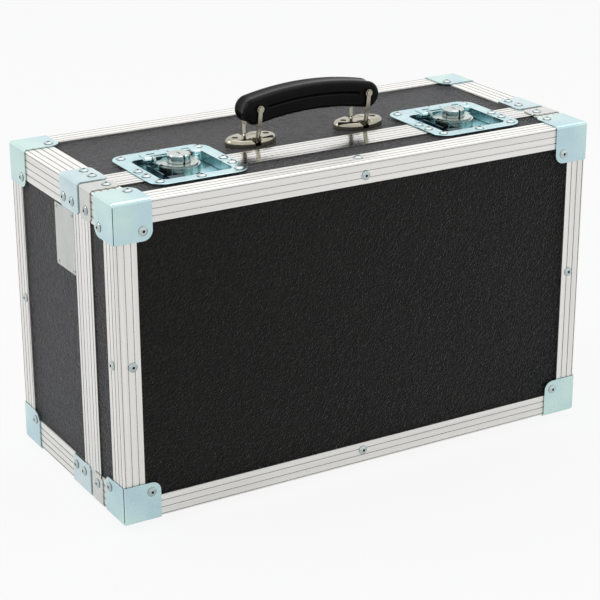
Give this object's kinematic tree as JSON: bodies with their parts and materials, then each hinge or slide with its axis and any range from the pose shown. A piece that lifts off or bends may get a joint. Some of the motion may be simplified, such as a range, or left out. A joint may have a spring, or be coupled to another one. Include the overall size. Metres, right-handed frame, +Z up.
{
  "type": "flight case",
  "caption": "Hard flight case with riveted aluminium edging, plated steel corners, recessed twist latches, a hinged front lid and a swinging top handle.",
  "frame": {"origin": "floor point under the middle of the closed case", "axes": "+X to the right along the wide front, -Y out of the lid's face towards the viewer, +Z up to the handle"},
  "size_m": [0.526, 0.2382, 0.3718],
  "materials": {
    "board": "black leather-grain laminate on plywood",
    "edging": "satin extruded, with fine lines",
    "corner_steel": "clear blue-white zinc plate",
    "latch_steel": "clear blue-white zinc plate",
    "hook_steel": "dark oiled zinc plate",
    "rivet_steel": "zinc plate",
    "handle_nickel": "warm nickel plate",
    "grip_plastic": "moulded, slightly soft",
    "foam": "charcoal foam lining",
    "foot_rubber": "black rubber",
    "plate_metal": "bare brushed plate"
  },
  "bodies": {
    "base": {"base_back_panel": "board", "base_bottom_panel": "board", "base_braces": "corner_steel", "base_closure_groove": "edging", "base_corners": "corner_steel", "base_depth_edging": "edging", "base_feet": "foot_rubber", "base_foam": "foam", "base_foot_screws": "rivet_steel", "base_hinge_leaves": "corner_steel", "base_left_panel": "board", "base_rear_edging": "edging", "base_right_panel": "board", "base_rivets": "rivet_steel", "base_top_panel": "board", "handle_left_bracket": "handle_nickel", "handle_right_bracket": "handle_nickel", "handle_screws": "handle_nickel", "hinge_pins": "rivet_steel", "left_latch_dish": "latch_steel", "nameplate": "plate_metal", "nameplate_rivets": "rivet_steel", "right_latch_dish": "latch_steel"},
    "lid": {"left_latch_keeper": "latch_steel", "lid_bottom_panel": "board", "lid_braces": "corner_steel", "lid_closure_tongue": "edging", "lid_corners": "corner_steel", "lid_depth_edging": "edging", "lid_feet": "foot_rubber", "lid_foam": "foam", "lid_foot_screws": "rivet_steel", "lid_front_edging": "edging", "lid_front_panel": "board", "lid_hinge_leaves": "corner_steel", "lid_left_panel": "board", "lid_right_panel": "board", "lid_rivets": "rivet_steel", "lid_top_panel": "board", "right_latch_keeper": "latch_steel"},
    "grip": {"handle_grip": "grip_plastic", "handle_grip_core": "hook_steel", "handle_grip_pins": "handle_nickel"},
    "left_loop": {"handle_left_loop": "handle_nickel"},
    "right_loop": {"handle_right_loop": "handle_nickel"},
    "left_hook": {"left_latch_hook": "hook_steel"},
    "left_rotor": {"left_latch_rotor": "latch_steel", "left_latch_washer": "rivet_steel"},
    "left_wing": {"left_latch_wing": "latch_steel", "left_latch_wing_pins": "rivet_steel"},
    "right_hook": {"right_latch_hook": "hook_steel"},
    "right_rotor": {"right_latch_rotor": "latch_steel", "right_latch_washer": "rivet_steel"},
    "right_wing": {"right_latch_wing": "latch_steel", "right_latch_wing_pins": "rivet_steel"}
  },
  "joints": [
    {"name": "lid_hinge", "type": "hinge", "parent": "base", "child": "lid", "pos_m": [0, -0.0485, 0.0052], "axis": [1, 0, 0], "range_deg": [0, 105]},
    {"name": "left_latch_turn", "type": "hinge", "parent": "base", "child": "left_rotor", "pos_m": [-0.1543, -0.0355, 0.32], "axis": [0, 0, 1], "range_deg": [0, 180]},
    {"name": "left_wing_lift", "type": "hinge", "parent": "left_rotor", "child": "left_wing", "pos_m": [-0.1543, -0.021, 0.3242], "axis": [1, 0, 0], "range_deg": [0, 90]},
    {"name": "left_hook_slide", "type": "slide", "parent": "base", "child": "left_hook", "axis": [0, -1, 0], "range_m": [0, 0.0051]},
    {"name": "right_latch_turn", "type": "hinge", "parent": "base", "child": "right_rotor", "pos_m": [0.1543, -0.0355, 0.32], "axis": [0, 0, 1], "range_deg": [0, 180]},
    {"name": "right_wing_lift", "type": "hinge", "parent": "right_rotor", "child": "right_wing", "pos_m": [0.1543, -0.021, 0.3242], "axis": [1, 0, 0], "range_deg": [0, 90]},
    {"name": "right_hook_slide", "type": "slide", "parent": "base", "child": "right_hook", "axis": [0, -1, 0], "range_m": [0, 0.0051]},
    {"name": "handle_swing", "type": "hinge", "parent": "base", "child": "left_loop", "pos_m": [-0.061, -0.004, 0.3226], "axis": [0, 1, 0], "range_deg": [-45, 34]},
    {"name": "right_loop_swing", "type": "hinge", "parent": "base", "child": "right_loop", "pos_m": [0.061, -0.004, 0.3226], "axis": [0, 1, 0], "range_deg": [-45, 34]},
    {"name": "grip_tilt", "type": "hinge", "parent": "left_loop", "child": "grip", "pos_m": [-0.05792, -0.004, 0.35515], "axis": [0, 1, 0], "range_deg": [-34, 45]}
  ],
  "couplings": [
    {"joint": "left_hook_slide", "follows": "left_latch_turn", "m_per_rad": 0.0015915},
    {"joint": "right_hook_slide", "follows": "right_latch_turn", "m_per_rad": 0.0015915},
    {"joint": "right_loop_swing", "follows": "handle_swing", "ratio": 1},
    {"joint": "grip_tilt", "follows": "handle_swing", "ratio": -1}
  ]
}
